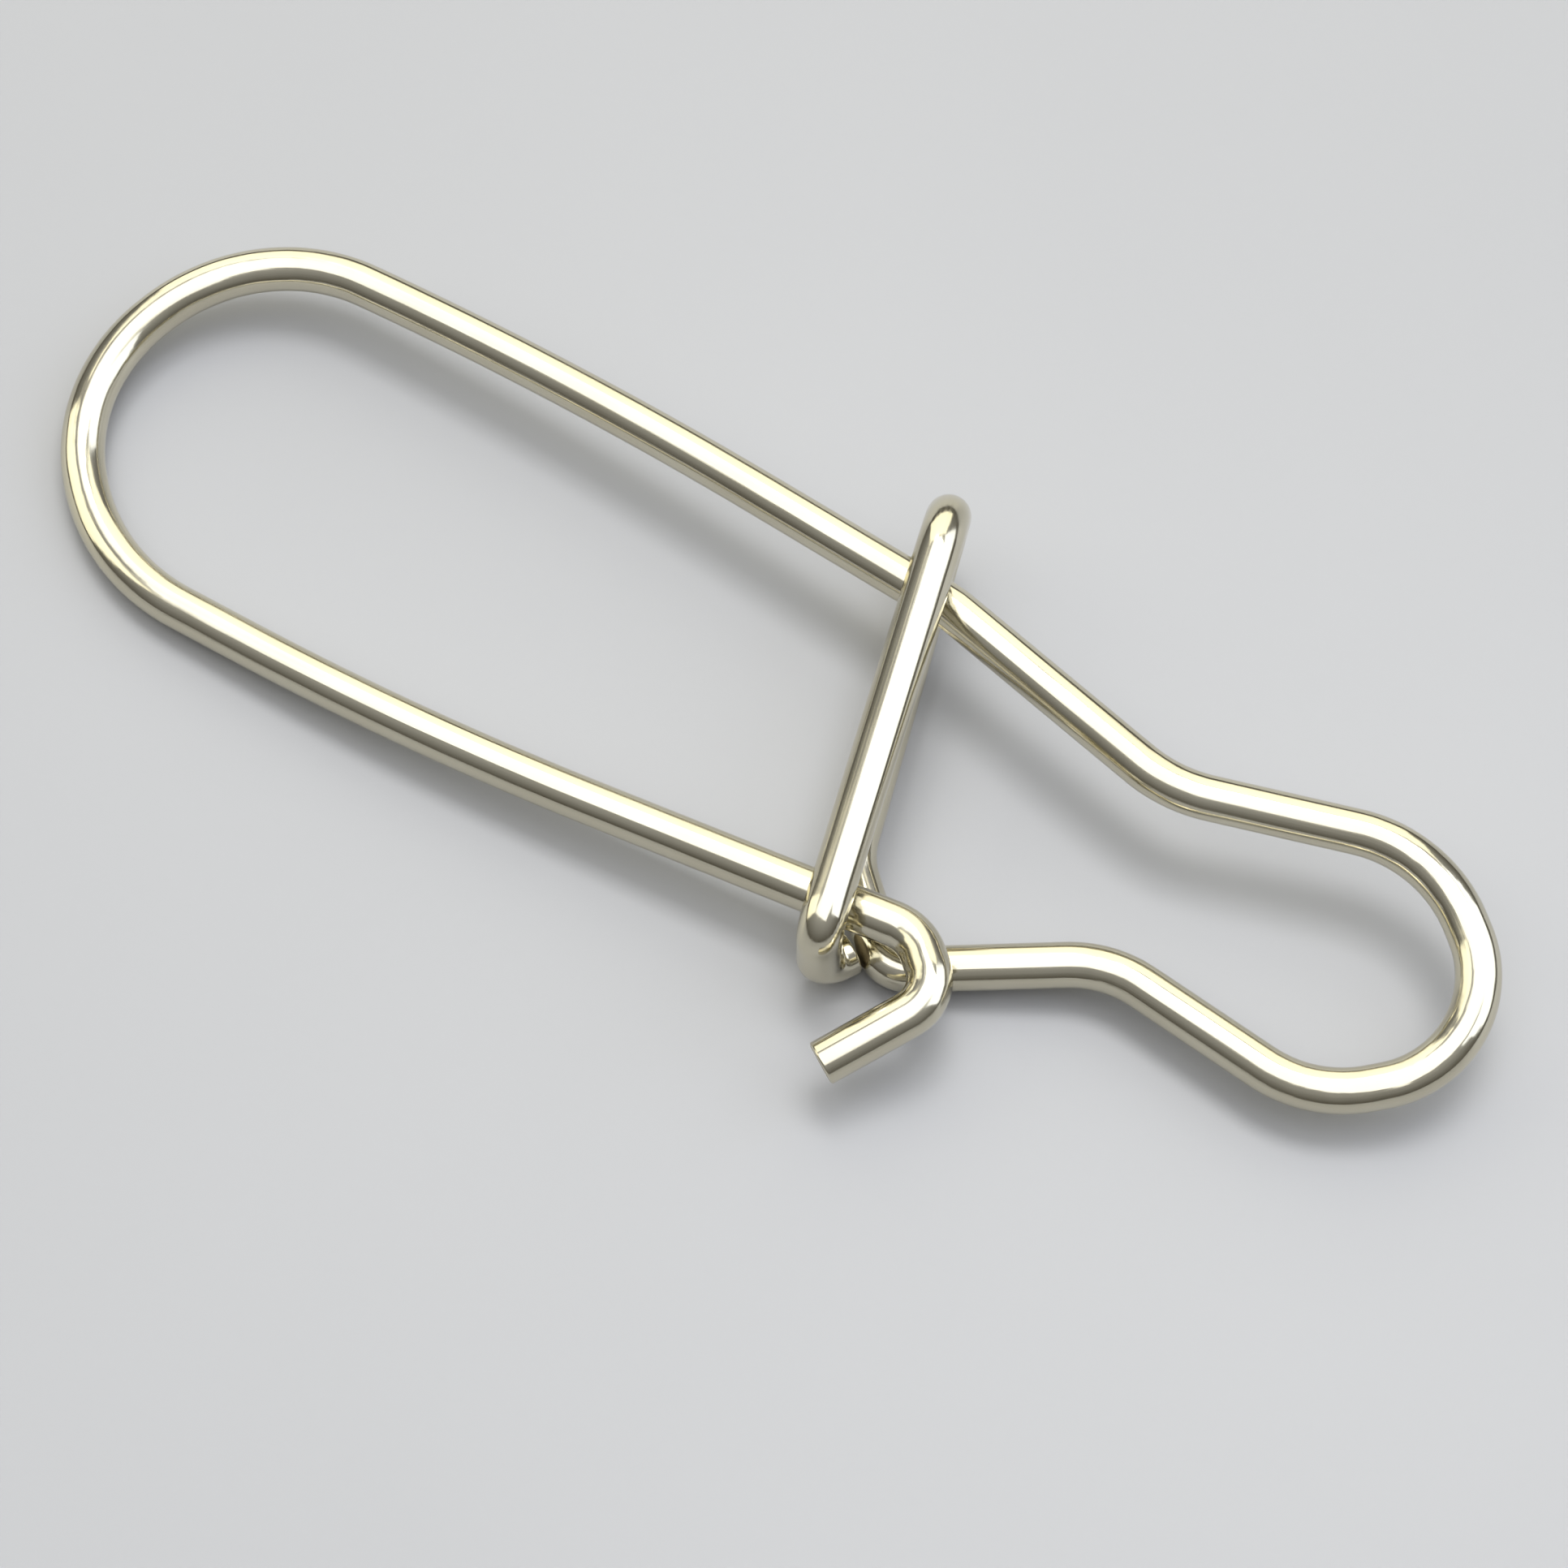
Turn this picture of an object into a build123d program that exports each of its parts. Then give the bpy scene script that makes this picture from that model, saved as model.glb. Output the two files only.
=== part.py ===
from build123d import *
import os
from math import pi

# Fishing snap: one length of plated spring wire bent into a big loop for the lure, a small eye for the
# line, a ring that closes round both legs of the loop, and a hook on the free leg. It lies as it comes
# to rest on a table: +Z is up, +X runs from the big loop to the eye, and the origin is on the table
# under the middle of the snap. All sizes are in millimetres and every point is on the wire's centre line.

# Wire
WIRE_D = 1.0
END_BREAK = 0.05  # edge that the shears take off at both ends
PLAY = 0.04  # gap between two stretches that cross
STACK = WIRE_D + PLAY  # one centre line above another where they cross
TABLE = WIRE_D / 2  # height of a stretch that lies on the table

# The ring crosses the free leg here, and props the flat of the big loop up at two slopes
LEG_X, LEG_Y = 4.0, -3.0
LEG_Z = TABLE + STACK
LOOP_PITCH = 0.0576  # rise per millimetre towards the eye
LOOP_ROLL = 0.105  # rise per millimetre towards the fixed leg

# Big loop: its nose is bent round a large pin, and its legs are sprung very slightly outwards
NOSE_R = 4.1
NOSE_ENTRY_R = 5.0  # free leg into the nose
NOSE_EXIT_R = 4.27  # nose into the fixed leg
FREE_BOW_R = 84.0
FIXED_BOW_R = 100.0

# Line eye: bent round a small pin, its flat sloping down to the table
EYE_R = 2.46
EYE_END_R = 2.95  # out of the eye towards the arm
EYE_Z = 1.43  # height of its flat at y = 0
EYE_ROLL = 0.20  # rise per millimetre of y
SHOULDER_R = 3.2

# Waist between the ring and the eye
WAIST_IN_R = 3.0
WAIST_OUT_R = 3.4
ARM_R = 2.7
WAIST_DROP = 0.07  # fall of the fixed leg from the ring to the waist
ARM_Z = 0.90  # height of the arm where it leaves the flat of the eye

# Ring: a back strand on the table, a turn round the fixed leg, a front strand over both legs. The
# turns at the back strand's two ends stand on the table, and the strand bows up a little between them
FIXED_LEG_Z = 2.33  # height of the fixed leg where it goes through the ring
RING_SAG_R = 2.0  # the back strand takes up the arm's slack
RING_END_Y = 6.07
RING_TURN_R = 1.40
RING_TOP_Z = 3.55
RING_LOW_Z = LEG_Z + STACK - PLAY / 2
ARM_TURN_R = 0.68
RING_FOOT_Z = TABLE - 0.01  # corner of a turn whose rounded wire just touches the table
RING_BOW = 0.05
TAIL_R = 0.58
TAIL_LIFT = 0.13  # the tail stands a little clear of the table
TAIL_Z = TABLE + TAIL_LIFT

# Hook on the free leg
HOOK_TOP_R = 0.9
HOOK_THROAT_R = 1.2


def on_loop(x, y):
    """Point on the flat of the big loop."""
    return (x, y, LEG_Z + LOOP_PITCH * (x - LEG_X) + LOOP_ROLL * (y - LEG_Y))


def on_eye(x, y):
    """Point on the flat of the line eye."""
    return (x, y, EYE_Z + EYE_ROLL * y)


# Each bend is the corner that it is rounded from and the radius of its arc, from the hook to the tail
HOOK_TIP = (5.50, -6.34, 1.36)
hook_bends = [
    ((7.05, -4.00, 1.86), HOOK_TOP_R),
    ((5.90, -2.85, 1.74), HOOK_THROAT_R),
]

loop_bends = [
    (on_loop(-6.35, -3.59), FREE_BOW_R),  # middle of the free leg
    (on_loop(-14.57, -3.22), NOSE_ENTRY_R),
    (on_loop(-17.61, 0.32), NOSE_R),
    (on_loop(-15.69, 5.445), NOSE_EXIT_R),
    (on_loop(-7.25, 5.34), FIXED_BOW_R),  # middle of the fixed leg
    ((2.97, 4.14, FIXED_LEG_Z), WAIST_IN_R),
]

eye_bends = [
    ((9.17, 2.56, FIXED_LEG_Z - WAIST_DROP), WAIST_OUT_R),
    (on_eye(14.76, 4.03), SHOULDER_R),
    (on_eye(18.42, 0.82), EYE_R),
    (on_eye(14.88, -1.92), EYE_END_R),
    ((9.67, -1.15, ARM_Z), ARM_R),
]

ring_bends = [
    ((5.50, -3.43, RING_FOOT_Z), ARM_TURN_R),
    ((3.58, -1.48, RING_FOOT_Z + RING_BOW), RING_SAG_R),
    ((1.70, RING_END_Y, RING_FOOT_Z), RING_TURN_R),
    ((2.01, RING_END_Y, RING_TOP_Z), RING_TURN_R),
    ((4.24, -4.10, RING_LOW_Z), TAIL_R),
    ((4.26, -4.13, TAIL_Z), TAIL_R),
]
TAIL_END = (4.67, -3.46, TAIL_Z)

bends = hook_bends + loop_bends + eye_bends + ring_bends
corners = [corner for corner, radius in bends]
radii = [radius for corner, radius in bends]

with BuildPart() as snap_wire:
    with BuildLine() as route:
        FilletPolyline(HOOK_TIP, *corners, TAIL_END, radius=radii)
    with BuildSketch(Plane(origin=route.line @ 0, z_dir=route.line % 0)):
        Circle(WIRE_D / 2)
    sweep(path=route.wire())
    chamfer(snap_wire.faces().filter_by(GeomType.PLANE).edges(), length=END_BREAK)
snap_wire.part.label = "snap_wire"

os.makedirs("parts", exist_ok=True)
export_step(snap_wire.part, "parts/snap_wire.step")

wire_length = route.wire().length
print("wire length", round(wire_length, 2))
print("volume over section times length", round(snap_wire.part.volume / (wire_length * pi * WIRE_D**2 / 4), 4))
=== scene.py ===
"""Fishing snap bent from one plated spring wire, lying on a plain pale floor under soft studio light."""

import logging
import math
from dataclasses import dataclass, field
from enum import Enum

import bpy
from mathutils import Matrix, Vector


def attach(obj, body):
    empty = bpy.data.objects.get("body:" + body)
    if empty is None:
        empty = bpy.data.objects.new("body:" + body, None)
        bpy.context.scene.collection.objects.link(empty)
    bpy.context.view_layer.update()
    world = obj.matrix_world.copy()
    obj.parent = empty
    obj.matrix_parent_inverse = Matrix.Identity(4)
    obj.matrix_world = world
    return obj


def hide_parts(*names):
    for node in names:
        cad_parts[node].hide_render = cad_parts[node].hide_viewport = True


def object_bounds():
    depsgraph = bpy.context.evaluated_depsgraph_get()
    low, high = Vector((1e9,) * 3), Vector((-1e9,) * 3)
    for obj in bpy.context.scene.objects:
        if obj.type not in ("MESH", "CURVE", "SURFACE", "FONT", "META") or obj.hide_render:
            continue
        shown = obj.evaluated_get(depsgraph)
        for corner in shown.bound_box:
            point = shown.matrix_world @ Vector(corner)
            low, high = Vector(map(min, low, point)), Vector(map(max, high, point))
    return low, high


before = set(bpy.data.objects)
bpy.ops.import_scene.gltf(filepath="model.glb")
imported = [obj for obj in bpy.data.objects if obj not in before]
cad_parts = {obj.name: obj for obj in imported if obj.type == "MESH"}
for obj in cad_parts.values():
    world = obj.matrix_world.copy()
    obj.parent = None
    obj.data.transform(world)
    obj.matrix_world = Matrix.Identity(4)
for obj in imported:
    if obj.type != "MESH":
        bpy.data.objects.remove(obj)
cad_low, cad_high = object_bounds()
log = logging.getLogger("fishing_snap")

MM = 0.001  # the bends are written in millimetres and the scene is in metres

Point = tuple[float, float, float]
Bend = tuple[Point, float]


class WireMark(Enum):
    """Attributes that the wire carries from its route to its finish."""

    BEND_RADIUS = "bend_radius"
    ALONG_DRAW = "along_draw"
    SHEARED = "sheared"
    FORMED = "formed"


def linear_colour(code: str) -> tuple[float, float, float, float]:
    """Turns an sRGB hex colour into the linear values that shaders take.

    Args:
        code: Colour such as "#D4CCBF".

    Returns:
        Linear red, green and blue, and an alpha of 1.
    """
    channels = [int(code[place : place + 2], 16) / 255 for place in (1, 3, 5)]
    linear = [c / 12.92 if c <= 0.04045 else ((c + 0.055) / 1.055) ** 2.4 for c in channels]
    return (linear[0], linear[1], linear[2], 1.0)


def add_node(tree: bpy.types.NodeTree, kind: str, inputs: dict | None = None, **settings) -> bpy.types.Node:
    """Adds a node with its settings, values and links.

    Args:
        tree: Node tree that gets the node.
        kind: Type of the node.
        inputs: Socket name or number to a value, or to the output socket that feeds it.
        **settings: Properties of the node.

    Returns:
        The new node.
    """
    node = tree.nodes.new(kind)
    for name, value in settings.items():
        setattr(node, name, value)
    for key, value in (inputs or {}).items():
        if isinstance(value, bpy.types.NodeSocket):
            tree.links.new(value, node.inputs[key])
        else:
            node.inputs[key].default_value = value
    return node


@dataclass(frozen=True)
class BrightNickelPlate:
    """Bright nickel plated on cold-drawn spring wire: a warm mirror, with the die's lines showing through."""

    plate: str = "#DDD8C4"  # nickel is a yellower mirror than chrome
    plate_shade: str = "#D3CCB5"  # where the deposit is thinner and the steel warms it
    sheared: str = "#B9AE9C"
    roughness_low: float = 0.07
    roughness_high: float = 0.20
    die_line_mm: float = 0.07  # real lines are about 0.01 mm; drawn coarser so that they show
    die_line_run_mm: float = 9.0
    ripple_mm: float = 1.6  # the straightening rolls leave the wire very slightly wavy
    pin_mark_mm: float = 0.9  # the forming pins rub the bends a few hundredths deep
    pin_mark_depth_mm: float = 0.035
    shear_grain_mm: float = 0.05

    def material(self) -> bpy.types.Material:
        """Builds the plated wire's material.

        Returns:
            The material, which reads the wire's own lengthwise attribute.
        """
        material = bpy.data.materials.new("bright_nickel_plated_drawn_wire")
        material.use_nodes = True
        tree = material.node_tree
        tree.nodes.clear()
        draw = add_node(tree, "ShaderNodeAttribute", attribute_name=WireMark.ALONG_DRAW.value)
        cut = add_node(tree, "ShaderNodeAttribute", attribute_name=WireMark.SHEARED.value)
        formed = add_node(tree, "ShaderNodeAttribute", attribute_name=WireMark.FORMED.value)
        stretch = add_node(
            tree,
            "ShaderNodeMapping",
            {
                "Vector": draw.outputs["Vector"],
                "Scale": (1 / self.die_line_mm, 1 / self.die_line_mm, 1 / self.die_line_run_mm),
            },
        )
        lines = add_node(
            tree,
            "ShaderNodeTexNoise",
            {"Vector": stretch.outputs["Vector"], "Scale": 1.0, "Detail": 3.0, "Roughness": 0.6},
        )
        ripple = add_node(
            tree,
            "ShaderNodeTexNoise",
            {"Vector": draw.outputs["Vector"], "Scale": 1 / self.ripple_mm, "Detail": 1.0},
        )
        pin_marks = add_node(
            tree,
            "ShaderNodeTexNoise",
            {"Vector": draw.outputs["Vector"], "Scale": 1 / self.pin_mark_mm, "Detail": 2.0, "Roughness": 0.4},
        )
        grain = add_node(
            tree,
            "ShaderNodeTexNoise",
            {"Vector": draw.outputs["Vector"], "Scale": 1 / self.shear_grain_mm, "Detail": 4.0},
        )
        tone = add_node(
            tree,
            "ShaderNodeMix",
            {
                "Factor": ripple.outputs["Fac"],
                6: linear_colour(self.plate),
                7: linear_colour(self.plate_shade),
            },
            data_type="RGBA",
        )
        bared = add_node(
            tree,
            "ShaderNodeMix",
            {"Factor": cut.outputs["Fac"], 6: tone.outputs[2], 7: linear_colour(self.sheared)},
            data_type="RGBA",
        )
        polish = add_node(
            tree,
            "ShaderNodeMapRange",
            {
                "Value": lines.outputs["Fac"],
                "From Min": 0.3,
                "From Max": 0.7,
                "To Min": self.roughness_low,
                "To Max": self.roughness_high,
            },
        )
        polish_cut = add_node(
            tree,
            "ShaderNodeMix",
            {"Factor": cut.outputs["Fac"], "A": polish.outputs["Result"], "B": 0.42},
        )
        ripple_bump = add_node(
            tree,
            "ShaderNodeBump",
            {"Height": ripple.outputs["Fac"], "Strength": 1.0, "Distance": 0.012 * MM},
        )
        pin_bump = add_node(
            tree,
            "ShaderNodeBump",
            {
                "Height": pin_marks.outputs["Fac"],
                "Strength": formed.outputs["Fac"],
                "Distance": self.pin_mark_depth_mm * MM,
                "Normal": ripple_bump.outputs["Normal"],
            },
        )
        line_bump = add_node(
            tree,
            "ShaderNodeBump",
            {
                "Height": lines.outputs["Fac"],
                "Strength": 0.35,
                "Distance": 0.006 * MM,
                "Normal": pin_bump.outputs["Normal"],
            },
        )
        cut_strength = add_node(
            tree,
            "ShaderNodeMath",
            {0: cut.outputs["Fac"], 1: 0.7},
            operation="MULTIPLY",
        )
        grain_bump = add_node(
            tree,
            "ShaderNodeBump",
            {
                "Height": grain.outputs["Fac"],
                "Strength": cut_strength.outputs["Value"],
                "Distance": 0.02 * MM,
                "Normal": line_bump.outputs["Normal"],
            },
        )
        shader = add_node(
            tree,
            "ShaderNodeBsdfPrincipled",
            {
                "Base Color": bared.outputs[2],
                "Metallic": 1.0,
                "Roughness": polish_cut.outputs["Result"],
                "Normal": grain_bump.outputs["Normal"],
            },
        )
        add_node(tree, "ShaderNodeOutputMaterial", {"Surface": shader.outputs["BSDF"]})
        return material


@dataclass(frozen=True)
class PaperSweep:
    """Seamless coated studio paper: pale, very slightly mottled, with a satin face that shines at a low angle."""

    paper: str = "#A6A7AA"
    paper_shade: str = "#A1A2A5"
    roughness: float = 0.38
    mottle_m: float = 0.02

    def material(self) -> bpy.types.Material:
        """Builds the paper's material.

        Returns:
            The material.
        """
        material = bpy.data.materials.new("satin_coated_studio_paper")
        material.use_nodes = True
        tree = material.node_tree
        tree.nodes.clear()
        place = add_node(tree, "ShaderNodeTexCoord")
        mottle = add_node(
            tree,
            "ShaderNodeTexNoise",
            {"Vector": place.outputs["Object"], "Scale": 1 / self.mottle_m, "Detail": 3.0},
        )
        tone = add_node(
            tree,
            "ShaderNodeMix",
            {
                "Factor": mottle.outputs["Fac"],
                6: linear_colour(self.paper),
                7: linear_colour(self.paper_shade),
            },
            data_type="RGBA",
        )
        shader = add_node(
            tree,
            "ShaderNodeBsdfPrincipled",
            {"Base Color": tone.outputs[2], "Roughness": self.roughness},
        )
        add_node(tree, "ShaderNodeOutputMaterial", {"Surface": shader.outputs["BSDF"]})
        return material


@dataclass
class SnapRoute:
    """Route of the wire's centre line: corners that the bends are rounded from, in millimetres."""

    wire_d: float = 1.0
    play: float = 0.04
    leg_x: float = 4.0
    leg_y: float = -3.0
    loop_pitch: float = 0.0576
    loop_roll: float = 0.105
    nose_r: float = 4.1
    nose_entry_r: float = 5.0
    nose_exit_r: float = 4.27
    free_bow_r: float = 84.0
    fixed_bow_r: float = 100.0
    eye_r: float = 2.46
    eye_end_r: float = 2.95
    eye_z: float = 1.43
    eye_roll: float = 0.20
    shoulder_r: float = 3.2
    waist_in_r: float = 3.0
    waist_out_r: float = 3.4
    waist_drop: float = 0.07
    arm_r: float = 2.7
    arm_z: float = 0.90
    fixed_leg_z: float = 2.33
    ring_sag_r: float = 2.0
    ring_bow: float = 0.05
    ring_end_y: float = 6.07
    ring_turn_r: float = 1.40
    ring_top_z: float = 3.55
    arm_turn_r: float = 0.68
    tail_r: float = 0.58
    tail_lift: float = 0.13
    hook_top_r: float = 0.9
    hook_throat_r: float = 1.2
    hook_tip: Point = (5.50, -6.34, 1.36)
    tail_xy: tuple[float, float] = (4.67, -3.46)

    @property
    def table(self) -> float:
        """Height of a stretch that lies on the table."""
        return self.wire_d / 2

    @property
    def stack(self) -> float:
        """Rise of one centre line above another where they cross."""
        return self.wire_d + self.play

    @property
    def ring_foot_z(self) -> float:
        """Height of the corner of a turn whose rounded wire just touches the table."""
        return self.table - 0.01

    @property
    def leg_z(self) -> float:
        """Height of the free leg where it goes through the ring."""
        return self.table + self.stack

    @property
    def tail_z(self) -> float:
        """Height of the tail, a little clear of the table."""
        return self.table + self.tail_lift

    def on_loop(self, x: float, y: float) -> Point:
        """Point on the flat of the big loop."""
        return (x, y, self.leg_z + self.loop_pitch * (x - self.leg_x) + self.loop_roll * (y - self.leg_y))

    def on_eye(self, x: float, y: float) -> Point:
        """Point on the flat of the line eye."""
        return (x, y, self.eye_z + self.eye_roll * y)

    def hook_bends(self) -> list[Bend]:
        """Bends of the hook, from its tip to the free leg."""
        return [((7.05, -4.00, 1.86), self.hook_top_r), ((5.90, -2.85, 1.74), self.hook_throat_r)]

    def loop_bends(self) -> list[Bend]:
        """Bends of the big loop, from the free leg to the fixed leg."""
        return [
            (self.on_loop(-6.35, -3.59), self.free_bow_r),
            (self.on_loop(-14.57, -3.22), self.nose_entry_r),
            (self.on_loop(-17.61, 0.32), self.nose_r),
            (self.on_loop(-15.69, 5.445), self.nose_exit_r),
            (self.on_loop(-7.25, 5.34), self.fixed_bow_r),
            ((2.97, 4.14, self.fixed_leg_z), self.waist_in_r),
        ]

    def eye_bends(self) -> list[Bend]:
        """Bends of the waist, the shoulder, the line eye and the arm."""
        return [
            ((9.17, 2.56, self.fixed_leg_z - self.waist_drop), self.waist_out_r),
            (self.on_eye(14.76, 4.03), self.shoulder_r),
            (self.on_eye(18.42, 0.82), self.eye_r),
            (self.on_eye(14.88, -1.92), self.eye_end_r),
            ((9.67, -1.15, self.arm_z), self.arm_r),
        ]

    def ring_bends(self) -> list[Bend]:
        """Bends of the ring, from the arm's turn to the tail."""
        low_z = self.leg_z + self.stack - self.play / 2
        return [
            ((5.50, -3.43, self.ring_foot_z), self.arm_turn_r),
            ((3.58, -1.48, self.ring_foot_z + self.ring_bow), self.ring_sag_r),
            ((1.70, self.ring_end_y, self.ring_foot_z), self.ring_turn_r),
            ((2.01, self.ring_end_y, self.ring_top_z), self.ring_turn_r),
            ((4.24, -4.10, low_z), self.tail_r),
            ((4.26, -4.13, self.tail_z), self.tail_r),
        ]

    def stations(self) -> list[Bend]:
        """Both ends of the wire and every bend between them.

        Returns:
            Points with the radius that each is rounded to, which is 0 at the two ends.
        """
        bends = self.hook_bends() + self.loop_bends() + self.eye_bends() + self.ring_bends()
        return [(self.hook_tip, 0.0), *bends, ((*self.tail_xy, self.tail_z), 0.0)]


@dataclass
class SpringWire:
    """The whole snap: one round wire swept along its route."""

    route: SnapRoute = field(default_factory=SnapRoute)
    finish: BrightNickelPlate = field(default_factory=BrightNickelPlate)
    ring_step_mm: float = 0.12
    arc_steps: int = 40
    sides: int = 64
    edge_break_mm: float = 0.05
    mark_spread: int = 8
    edge_cuts: int = 8

    def route_object(self) -> bpy.types.Object:
        """Makes the straight-sided outline of the route, with the radius of each bend on its corner.

        Returns:
            An object whose mesh is the chain of corners, in millimetres.
        """
        stations = self.route.stations()
        mesh = bpy.data.meshes.new("snap_route")
        edges = [(place, place + 1) for place in range(len(stations) - 1)]
        mesh.from_pydata([point for point, radius in stations], edges, [])
        radii = mesh.attributes.new(WireMark.BEND_RADIUS.value, "FLOAT", "POINT")
        radii.data.foreach_set("value", [radius for point, radius in stations])
        outline = bpy.data.objects.new("snap_route", mesh)
        bpy.context.scene.collection.objects.link(outline)
        return outline

    def sweep_tree(self) -> tuple[bpy.types.NodeTree, dict[str, str]]:
        """Builds the node tree that rounds the corners and sweeps the wire's section along them.

        Returns:
            The tree, and the name of each of its inputs to that input's identifier.
        """
        tree = bpy.data.node_groups.new("wire_from_bends", "GeometryNodeTree")
        sockets = tree.interface
        sockets.new_socket("Outline", in_out="INPUT", socket_type="NodeSocketGeometry")
        for name, kind in (
            ("Wire Radius", "NodeSocketFloat"),
            ("Edge Break", "NodeSocketFloat"),
            ("Ring Step", "NodeSocketFloat"),
            ("Arc Steps", "NodeSocketInt"),
            ("Edge Cuts", "NodeSocketInt"),
            ("Mark Spread", "NodeSocketInt"),
            ("Sides", "NodeSocketInt"),
            ("Scale", "NodeSocketFloat"),
            ("Plating", "NodeSocketMaterial"),
        ):
            sockets.new_socket(name, in_out="INPUT", socket_type=kind)
        sockets.new_socket("Wire", in_out="OUTPUT", socket_type="NodeSocketGeometry")
        given = add_node(tree, "NodeGroupInput").outputs

        # Round the outline's corners and space the sections evenly along it
        chain = add_node(tree, "GeometryNodeMeshToCurve", {"Mesh": given["Outline"]})
        radius = add_node(tree, "GeometryNodeInputNamedAttribute", {"Name": WireMark.BEND_RADIUS.value})
        rounded = add_node(
            tree,
            "GeometryNodeFilletCurve",
            {"Curve": chain.outputs[0], "Count": given["Arc Steps"], "Radius": radius.outputs["Attribute"]},
            mode="POLY",
        )
        spaced = add_node(
            tree,
            "GeometryNodeResampleCurve",
            {"Curve": rounded.outputs[0], "Length": given["Ring Step"]},
            mode="LENGTH",
        )
        ends = add_node(tree, "GeometryNodeCurveEndpointSelection", {"Start Size": 1, "End Size": 2})
        cuts = add_node(
            tree,
            "ShaderNodeMath",
            {0: ends.outputs[0], 1: given["Edge Cuts"]},
            operation="MULTIPLY",
        )
        fine = add_node(
            tree, "GeometryNodeSubdivideCurve", {"Curve": spaced.outputs[0], "Cuts": cuts.outputs[0]}
        )

        # The shears round over the edge at both ends
        run = add_node(tree, "GeometryNodeSplineParameter")
        whole = add_node(tree, "GeometryNodeSplineLength")
        to_end = add_node(
            tree, "ShaderNodeMath", {0: whole.outputs["Length"], 1: run.outputs["Length"]}, operation="SUBTRACT"
        )
        nearest = add_node(
            tree, "ShaderNodeMath", {0: run.outputs["Length"], 1: to_end.outputs[0]}, operation="MINIMUM"
        )
        left = add_node(
            tree,
            "ShaderNodeMath",
            {0: given["Edge Break"], 1: nearest.outputs[0]},
            operation="SUBTRACT",
            use_clamp=True,
        )
        left_squared = add_node(
            tree, "ShaderNodeMath", {0: left.outputs[0], 1: left.outputs[0]}, operation="MULTIPLY"
        )
        break_squared = add_node(
            tree, "ShaderNodeMath", {0: given["Edge Break"], 1: given["Edge Break"]}, operation="MULTIPLY"
        )
        rise_squared = add_node(
            tree,
            "ShaderNodeMath",
            {0: break_squared.outputs[0], 1: left_squared.outputs[0]},
            operation="SUBTRACT",
            use_clamp=True,
        )
        rise = add_node(tree, "ShaderNodeMath", {0: rise_squared.outputs[0]}, operation="SQRT")
        core = add_node(
            tree, "ShaderNodeMath", {0: given["Wire Radius"], 1: given["Edge Break"]}, operation="SUBTRACT"
        )
        section = add_node(tree, "ShaderNodeMath", {0: core.outputs[0], 1: rise.outputs[0]}, operation="ADD")

        # How sharply the wire turns here, as the forming pins leave their marks there
        place_in_line = add_node(tree, "GeometryNodeInputIndex")
        onwards = add_node(tree, "ShaderNodeMath", {0: place_in_line.outputs[0], 1: 1.0}, operation="ADD")
        heading = add_node(tree, "GeometryNodeInputTangent")
        next_heading = add_node(
            tree,
            "GeometryNodeFieldAtIndex",
            {"Index": onwards.outputs[0], "Value": heading.outputs[0]},
            data_type="FLOAT_VECTOR",
        )
        turned = add_node(
            tree, "ShaderNodeVectorMath", {0: heading.outputs[0], 1: next_heading.outputs[0]}, operation="DISTANCE"
        )
        curving = add_node(
            tree, "ShaderNodeMath", {0: turned.outputs["Value"], 1: given["Ring Step"]}, operation="DIVIDE"
        )
        marks = add_node(
            tree,
            "ShaderNodeMapRange",
            {"Value": curving.outputs[0], "From Min": 0.05, "From Max": 0.40},
        )
        formed = add_node(
            tree,
            "GeometryNodeBlurAttribute",
            {"Value": marks.outputs["Result"], "Iterations": given["Mark Spread"]},
            data_type="FLOAT",
        )

        # Remember the run along the wire and the place round its section for the finish
        kept = add_node(tree, "GeometryNodeCaptureAttribute", {"Geometry": fine.outputs[0]})
        kept.capture_items.new("FLOAT", "Run")
        kept.capture_items.new("FLOAT", "Section")
        kept.capture_items.new("FLOAT", "Formed")
        tree.links.new(run.outputs["Length"], kept.inputs["Run"])
        tree.links.new(section.outputs[0], kept.inputs["Section"])
        tree.links.new(formed.outputs[0], kept.inputs["Formed"])
        circle = add_node(tree, "GeometryNodeCurvePrimitiveCircle", {"Resolution": given["Sides"], "Radius": 1.0})
        place = add_node(tree, "GeometryNodeInputPosition")
        around = add_node(tree, "GeometryNodeCaptureAttribute", {"Geometry": circle.outputs["Curve"]})
        around.capture_items.new("VECTOR", "Around")
        tree.links.new(place.outputs[0], around.inputs["Around"])
        tube = add_node(
            tree,
            "GeometryNodeCurveToMesh",
            {
                "Curve": kept.outputs["Geometry"],
                "Profile Curve": around.outputs["Geometry"],
                "Scale": kept.outputs["Section"],
                "Fill Caps": True,
            },
        )
        across = add_node(
            tree,
            "ShaderNodeVectorMath",
            {0: around.outputs["Around"], "Scale": kept.outputs["Section"]},
            operation="SCALE",
        )
        split = add_node(tree, "ShaderNodeSeparateXYZ", {0: across.outputs[0]})
        drawn = add_node(
            tree,
            "ShaderNodeCombineXYZ",
            {"X": split.outputs["X"], "Y": split.outputs["Y"], "Z": kept.outputs["Run"]},
        )
        marked = add_node(
            tree,
            "GeometryNodeStoreNamedAttribute",
            {
                "Geometry": tube.outputs[0],
                "Name": WireMark.ALONG_DRAW.value,
                "Value": drawn.outputs[0],
            },
            data_type="FLOAT_VECTOR",
            domain="POINT",
        )
        worked = add_node(
            tree,
            "GeometryNodeStoreNamedAttribute",
            {"Geometry": marked.outputs[0], "Name": WireMark.FORMED.value, "Value": kept.outputs["Formed"]},
            data_type="FLOAT",
            domain="POINT",
        )
        sides = add_node(tree, "GeometryNodeInputMeshFaceNeighbors")
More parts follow.
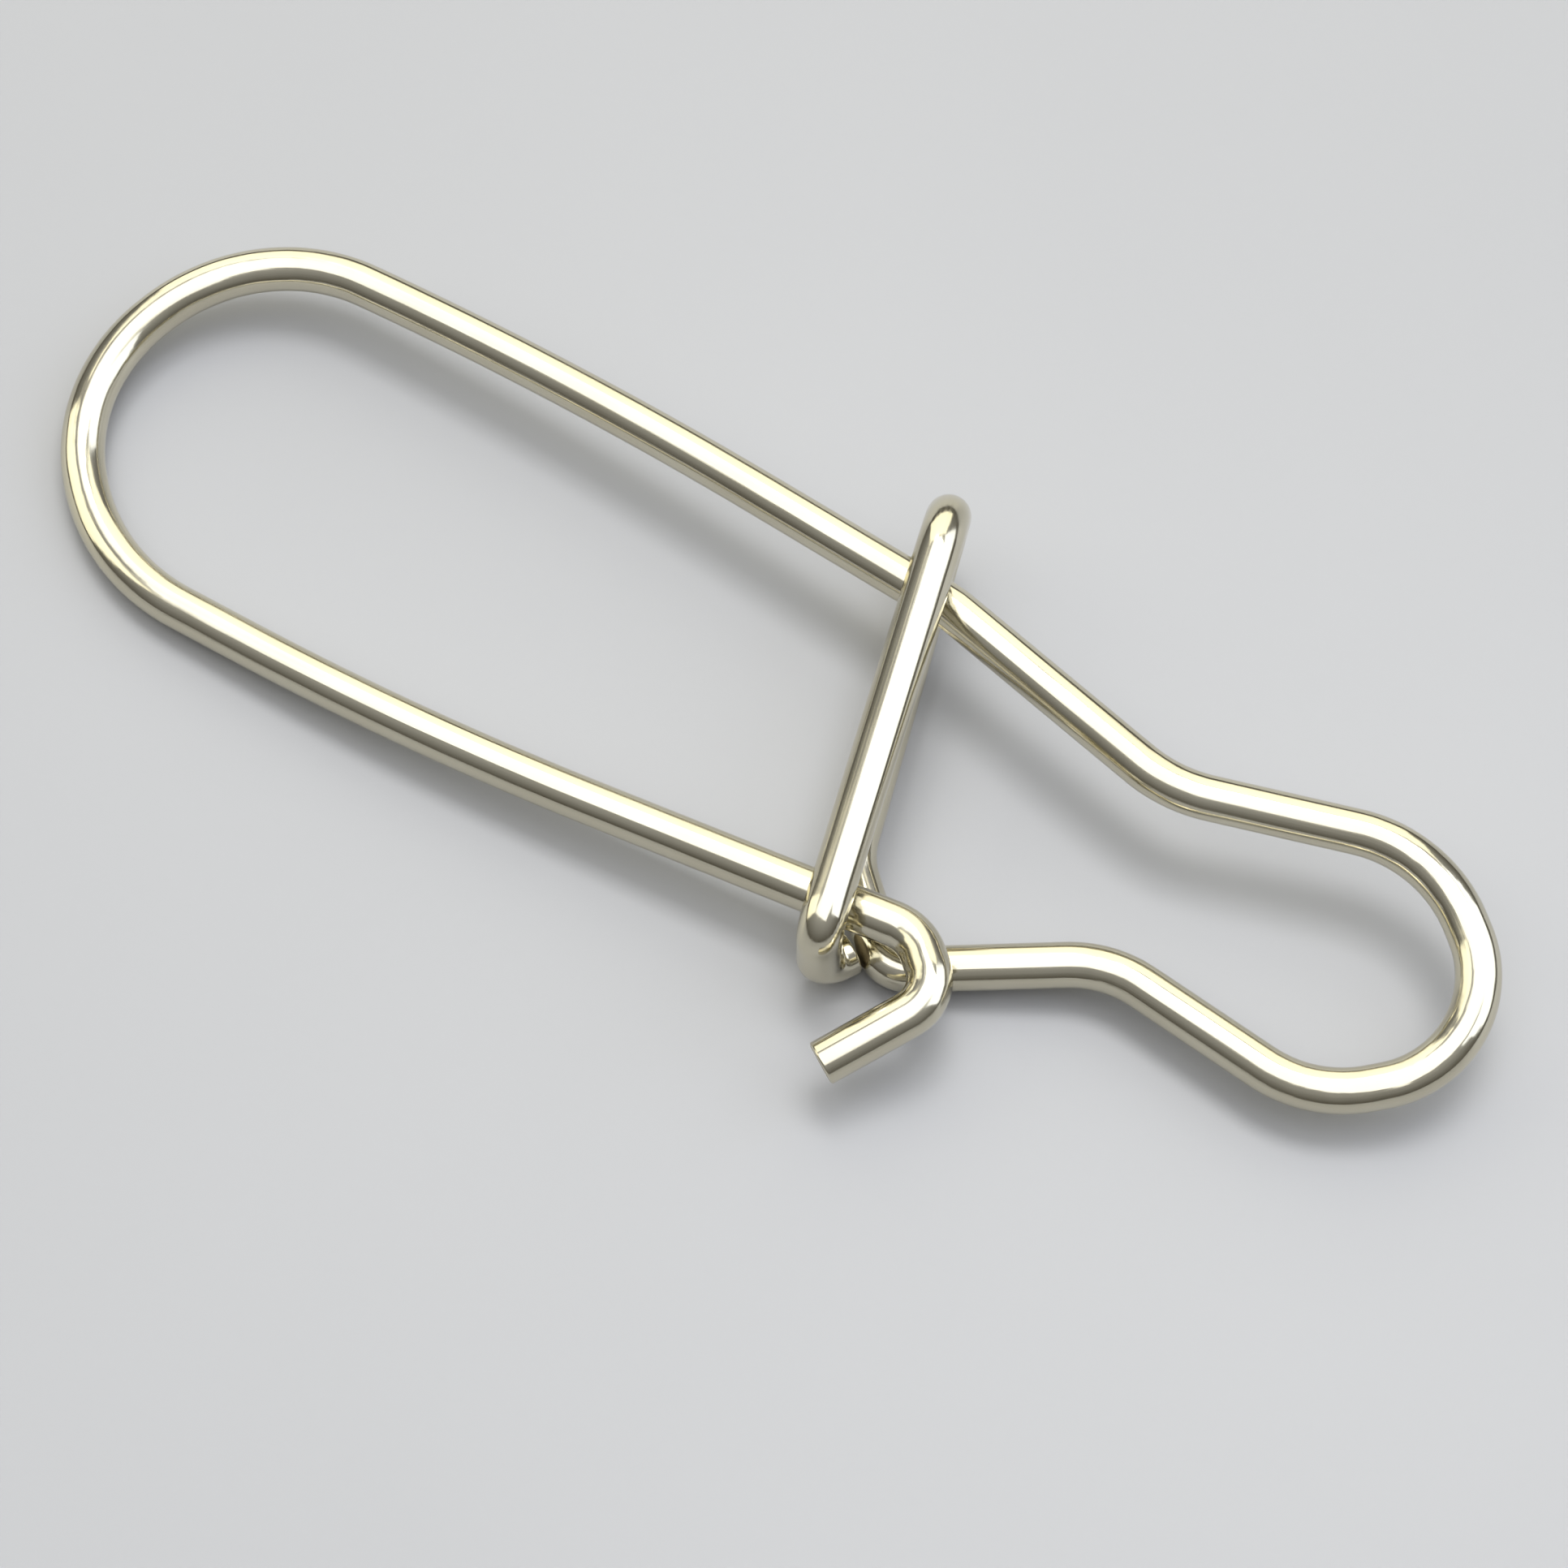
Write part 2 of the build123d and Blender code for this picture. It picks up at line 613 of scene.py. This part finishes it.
        cap = add_node(
            tree,
            "FunctionNodeCompare",
            {2: sides.outputs["Vertex Count"], 3: 4},
            data_type="INT",
            operation="GREATER_THAN",
        )
        sheared = add_node(
            tree,
            "GeometryNodeStoreNamedAttribute",
            {"Geometry": worked.outputs[0], "Name": WireMark.SHEARED.value, "Value": cap.outputs[0]},
            data_type="FLOAT",
            domain="FACE",
        )
        flat = add_node(tree, "FunctionNodeBooleanMath", {0: cap.outputs[0]}, operation="NOT")
        shaded = add_node(
            tree,
            "GeometryNodeSetShadeSmooth",
            {"Geometry": sheared.outputs[0], "Shade Smooth": flat.outputs[0]},
            domain="FACE",
        )
        scale = add_node(
            tree,
            "ShaderNodeCombineXYZ",
            {"X": given["Scale"], "Y": given["Scale"], "Z": given["Scale"]},
        )
        sized = add_node(
            tree, "GeometryNodeTransform", {"Geometry": shaded.outputs[0], "Scale": scale.outputs[0]}
        )
        solid = add_node(tree, "GeometryNodeRealizeInstances", {"Geometry": sized.outputs[0]})
        dressed = add_node(
            tree, "GeometryNodeSetMaterial", {"Geometry": solid.outputs[0], "Material": given["Plating"]}
        )
        add_node(tree, "NodeGroupOutput", {"Wire": dressed.outputs[0]})
        names = {s.name: s.identifier for s in sockets.items_tree if s.in_out == "INPUT"}
        return tree, names

    def build(self) -> bpy.types.Object:
        """Sweeps the wire and turns it into a plain mesh.

        Returns:
            The finished wire, in metres.
        """
        outline = self.route_object()
        tree, names = self.sweep_tree()
        sweep = outline.modifiers.new("sweep", "NODES")
        sweep.node_group = tree
        for name, value in (
            ("Wire Radius", self.route.wire_d / 2),
            ("Edge Break", self.edge_break_mm),
            ("Ring Step", self.ring_step_mm),
            ("Arc Steps", self.arc_steps),
            ("Edge Cuts", self.edge_cuts),
            ("Mark Spread", self.mark_spread),
            ("Sides", self.sides),
            ("Scale", MM),
            ("Plating", self.finish.material()),
        ):
            sweep[names[name]] = value
        depsgraph = bpy.context.evaluated_depsgraph_get()
        mesh = bpy.data.meshes.new_from_object(
            outline.evaluated_get(depsgraph), preserve_all_data_layers=True, depsgraph=depsgraph
        )
        mesh.name = "spring_wire"
        outline.modifiers.remove(sweep)
        bpy.data.objects.remove(outline)
        wire = bpy.data.objects.new("spring_wire", mesh)
        bpy.context.scene.collection.objects.link(wire)
        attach(wire, "root")
        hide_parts("snap_wire")
        return wire


class Tint(Enum):
    """Colours of the studio's lights."""

    DAYLIGHT = "#EFF4FF"
    WHITE = "#FFFFFF"
    CREAM = "#FFFBE4"


@dataclass
class PlainSurround:
    """Plain surround, dark at the floor and paler overhead, so that the metal has a light and a dark side."""

    underneath: str = "#45423B"
    horizon: str = "#55524B"
    ceiling: str = "#B4B5B8"
    backdrop: str = "#D2D3D6"

    def build(self) -> bpy.types.World:
        """Makes the surround, with plain paper wherever the camera itself looks past the floor.

        Returns:
            The world.
        """
        world = bpy.data.worlds.new("plain_surround")
        world.use_nodes = True
        tree = world.node_tree
        tree.nodes.clear()
        axes = add_node(
            tree,
            "ShaderNodeSeparateXYZ",
            {"Vector": add_node(tree, "ShaderNodeTexCoord").outputs["Generated"]},
        ).outputs
        height = add_node(tree, "ShaderNodeMapRange", {"Value": axes["Z"], "From Min": -1.0, "From Max": 1.0})
        ramp = add_node(tree, "ShaderNodeValToRGB", {"Fac": height.outputs["Result"]})
        stops = ramp.color_ramp.elements
        stops[0].position, stops[1].position = 0.3, 1.0
        stops[0].color, stops[1].color = linear_colour(self.underneath), linear_colour(self.ceiling)
        stops.new(0.5).color = linear_colour(self.horizon)
        around = add_node(tree, "ShaderNodeBackground", {"Color": ramp.outputs["Color"]})
        paper = add_node(tree, "ShaderNodeBackground", {"Color": linear_colour(self.backdrop)})
        path = add_node(tree, "ShaderNodeLightPath").outputs
        seen = add_node(
            tree, "ShaderNodeMixShader", {0: path["Is Camera Ray"], 1: around.outputs[0], 2: paper.outputs[0]}
        )
        add_node(tree, "ShaderNodeOutputWorld", {"Surface": seen.outputs[0]})
        bpy.context.scene.world = world
        return world


@dataclass
class Softbox:
    """A rectangular soft light that faces the snap, with its angles in degrees and its sizes in metres."""

    name: str
    azimuth: float
    elevation: float
    width: float
    height: float
    radiance: float
    tint: Tint = Tint.WHITE
    distance: float = 0.50

    def build(self) -> bpy.types.Object:
        """Hangs the light over the floor.

        Returns:
            The light, facing the snap.
        """
        light = bpy.data.lights.new(self.name, "AREA")
        light.shape = "RECTANGLE"
        light.size, light.size_y = self.width, self.height
        light.energy = self.radiance * math.pi * self.width * self.height
        light.color = linear_colour(self.tint.value)[:3]
        lamp = bpy.data.objects.new(self.name, light)
        lamp.visible_camera = False
        azimuth, elevation = math.radians(self.azimuth), math.radians(self.elevation)
        outwards = Vector(
            (
                math.cos(azimuth) * math.cos(elevation),
                math.sin(azimuth) * math.cos(elevation),
                math.sin(elevation),
            )
        )
        lamp.location = outwards * self.distance
        lamp.rotation_euler = outwards.to_track_quat("Z", "Y").to_euler()
        bpy.context.scene.collection.objects.link(lamp)
        return lamp


@dataclass
class Studio:
    """Pale floor, soft lights and the camera."""

    paper: PaperSweep = field(default_factory=PaperSweep)
    surround: PlainSurround = field(default_factory=PlainSurround)
    floor_half_side: float = 3.0
    camera_azimuth: float = 29.0
    camera_elevation: float = 64.0
    camera_distance: float = 0.110
    camera_target: Point = (0.00168, -0.00103, 0.00151)
    lens_mm: float = 116.8
    lights: list[Softbox] = field(
        default_factory=lambda: [
            Softbox("key", azimuth=95.0, elevation=70.0, width=0.30, height=0.15, radiance=5.0),
            Softbox("overhead", azimuth=0.0, elevation=90.0, width=0.70, height=0.70, radiance=1.5, distance=0.60),
            Softbox("right", azimuth=35.0, elevation=35.0, width=0.50, height=0.40, radiance=1.8, tint=Tint.DAYLIGHT),
            Softbox("back", azimuth=120.0, elevation=35.0, width=0.60, height=0.40, radiance=1.5, tint=Tint.CREAM),
            Softbox("left", azimuth=195.0, elevation=30.0, width=0.30, height=0.40, radiance=1.5, tint=Tint.CREAM),
        ]
    )

    def build_floor(self) -> bpy.types.Object:
        """Lays the pale floor under the snap.

        Returns:
            The floor.
        """
        half = self.floor_half_side
        mesh = bpy.data.meshes.new("floor")
        corners = [(-half, -half, 0.0), (half, -half, 0.0), (half, half, 0.0), (-half, half, 0.0)]
        mesh.from_pydata(corners, [], [(0, 1, 2, 3)])
        mesh.materials.append(self.paper.material())
        floor = bpy.data.objects.new("floor", mesh)
        floor.location.z = min(cad_low[2], 0.0)
        bpy.context.scene.collection.objects.link(floor)
        return floor

    def build_camera(self) -> bpy.types.Object:
        """Sets up the camera.

        Returns:
            The camera, which becomes the scene's own.
        """
        azimuth, elevation = math.radians(self.camera_azimuth), math.radians(self.camera_elevation)
        back = Vector(
            (
                math.sin(azimuth) * math.cos(elevation),
                -math.cos(azimuth) * math.cos(elevation),
                math.sin(elevation),
            )
        )
        data = bpy.data.cameras.new("camera")
        data.lens = self.lens_mm
        data.clip_start = self.camera_distance / 100
        camera = bpy.data.objects.new("camera", data)
        camera.location = Vector(self.camera_target) + back * self.camera_distance
        camera.rotation_euler = back.to_track_quat("Z", "Y").to_euler()
        bpy.context.scene.collection.objects.link(camera)
        bpy.context.scene.camera = camera
        return camera

    def build(self) -> None:
        """Builds the floor, the surround, the lights and the camera."""
        self.build_floor()
        self.surround.build()
        bpy.context.scene.view_settings.view_transform = "Standard"
        for light in self.lights:
            light.build()
        self.build_camera()


def main() -> None:
    """Builds the snap and its studio."""
    logging.basicConfig(level=logging.INFO, format="%(name)s: %(message)s")
    wire = SpringWire().build()
    wire.data.calc_loop_triangles()
    log.info("%s: %d triangles", wire.name, len(wire.data.loop_triangles))
    Studio().build()


if __name__ == "__main__":
    main()
